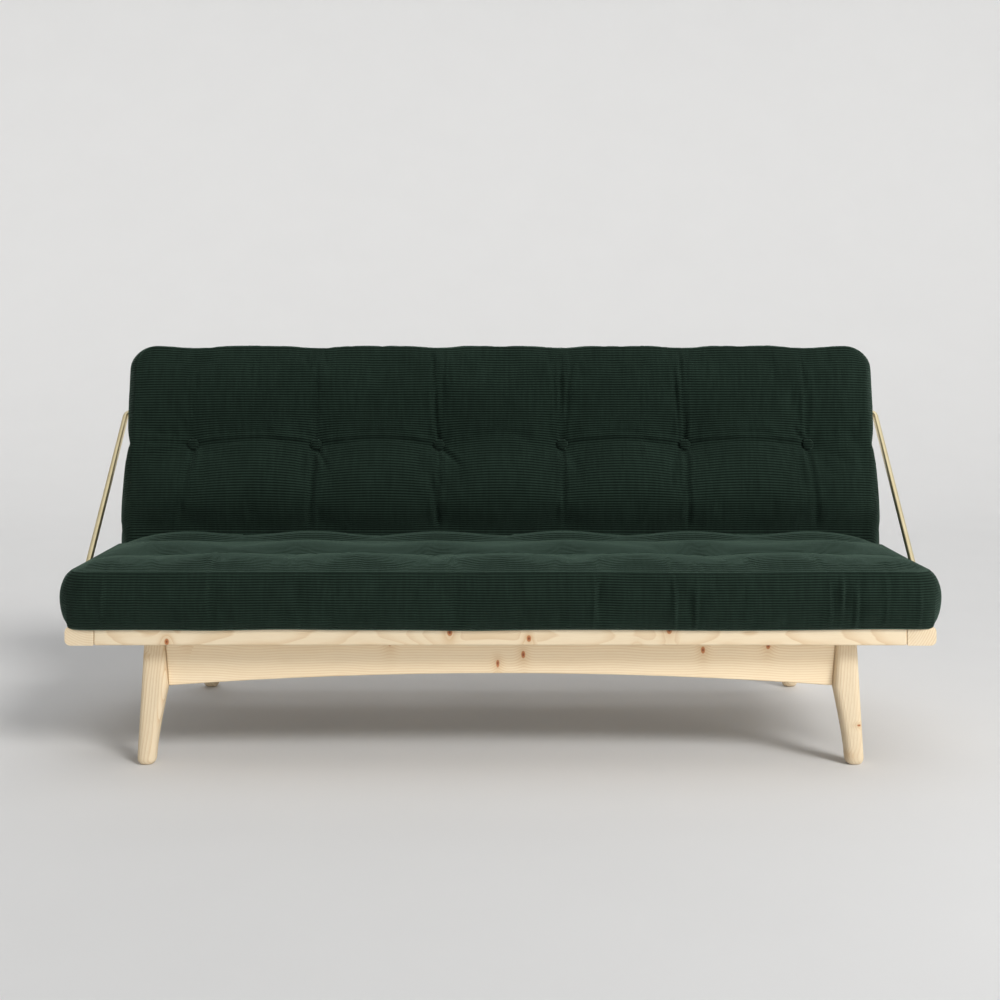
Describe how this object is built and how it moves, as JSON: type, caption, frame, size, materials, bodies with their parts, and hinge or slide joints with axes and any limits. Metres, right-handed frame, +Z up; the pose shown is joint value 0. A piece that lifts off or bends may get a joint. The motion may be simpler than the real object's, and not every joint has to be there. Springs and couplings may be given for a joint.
{
  "type": "futon sofa bed",
  "caption": "Pine futon sofa bed with splayed legs, a sliding slatted seat, a fold-down back held by brass side stays, and one folded tufted corduroy mattress.",
  "frame": {"origin": "centre of the bounding box's footprint, on the floor, with the object at rest as a sofa", "axes": "+X along the sofa's length to the viewer's right, +Y from the front to the back, +Z up"},
  "size_m": [2.016, 0.8078, 0.9173],
  "materials": {
    "pine": "clear matt lacquer over knotty pine",
    "green_corduroy": "dark green wide-wale cotton corduroy, ribs along the sofa's length",
    "satin_brass": "satin brass plating",
    "zinc_steel": "bright zinc plating"
  },
  "bodies": {
    "base": {"leg_front_left": "pine", "leg_front_right": "pine", "leg_rear_left": "pine", "leg_rear_right": "pine", "apron_front": "pine", "apron_rear": "pine", "bearer_left": "pine", "bearer_right": "pine", "bearer_centre": "pine", "leg_bolt_front_left": "zinc_steel", "leg_bolt_front_right": "zinc_steel", "leg_bolt_rear_left": "zinc_steel", "leg_bolt_rear_right": "zinc_steel"},
    "seat": {"seat_rail_front": "pine", "seat_rail_rear": "pine", "seat_rail_left": "pine", "seat_rail_right": "pine", "seat_ledger_front": "pine", "seat_ledger_rear": "pine", "seat_runner_left": "pine", "seat_runner_right": "pine", "seat_guide_left": "pine", "seat_guide_right": "pine", "seat_slat_1": "pine", "seat_slat_2": "pine", "seat_slat_3": "pine", "seat_slat_4": "pine", "seat_slat_5": "pine", "seat_slat_6": "pine", "seat_slat_7": "pine", "hinge_leaf_seat_1": "zinc_steel", "hinge_leaf_seat_2": "zinc_steel", "hinge_leaf_seat_3": "zinc_steel", "hinge_pin_1": "zinc_steel", "hinge_pin_2": "zinc_steel", "hinge_pin_3": "zinc_steel", "stay_bolt_left": "satin_brass", "stay_bolt_right": "satin_brass", "mattress_seat": "green_corduroy"},
    "back": {"back_rail_lower": "pine", "back_rail_upper": "pine", "back_rail_left": "pine", "back_rail_right": "pine", "back_ledger_lower": "pine", "back_ledger_upper": "pine", "back_slat_1": "pine", "back_slat_2": "pine", "back_slat_3": "pine", "back_slat_4": "pine", "back_slat_5": "pine", "back_slat_6": "pine", "back_slat_7": "pine", "hinge_leaf_back_1": "zinc_steel", "hinge_leaf_back_2": "zinc_steel", "hinge_leaf_back_3": "zinc_steel", "stay_peg_left": "satin_brass", "stay_peg_right": "satin_brass", "mattress_back": "green_corduroy"},
    "stay_left": {"stay_bar_left": "satin_brass"},
    "stay_right": {"stay_bar_right": "satin_brass"}
  },
  "joints": [
    {"name": "seat_slide", "type": "slide", "parent": "base", "child": "seat", "axis": [0, -1, 0], "range_m": [0, 0.21]},
    {"name": "back_fold", "type": "hinge", "parent": "seat", "child": "back", "pos_m": [0, 0.2521, 0.305], "axis": [1, 0, 0], "range_deg": [-79, 0]},
    {"name": "stay_left_swing", "type": "hinge", "parent": "seat", "child": "stay_left", "pos_m": [0, -0.1259, 0.288], "axis": [1, 0, 0], "range_deg": [-43.16, 0]},
    {"name": "stay_right_swing", "type": "hinge", "parent": "seat", "child": "stay_right", "pos_m": [0, -0.1259, 0.288], "axis": [1, 0, 0], "range_deg": [-43.16, 0]}
  ]
}
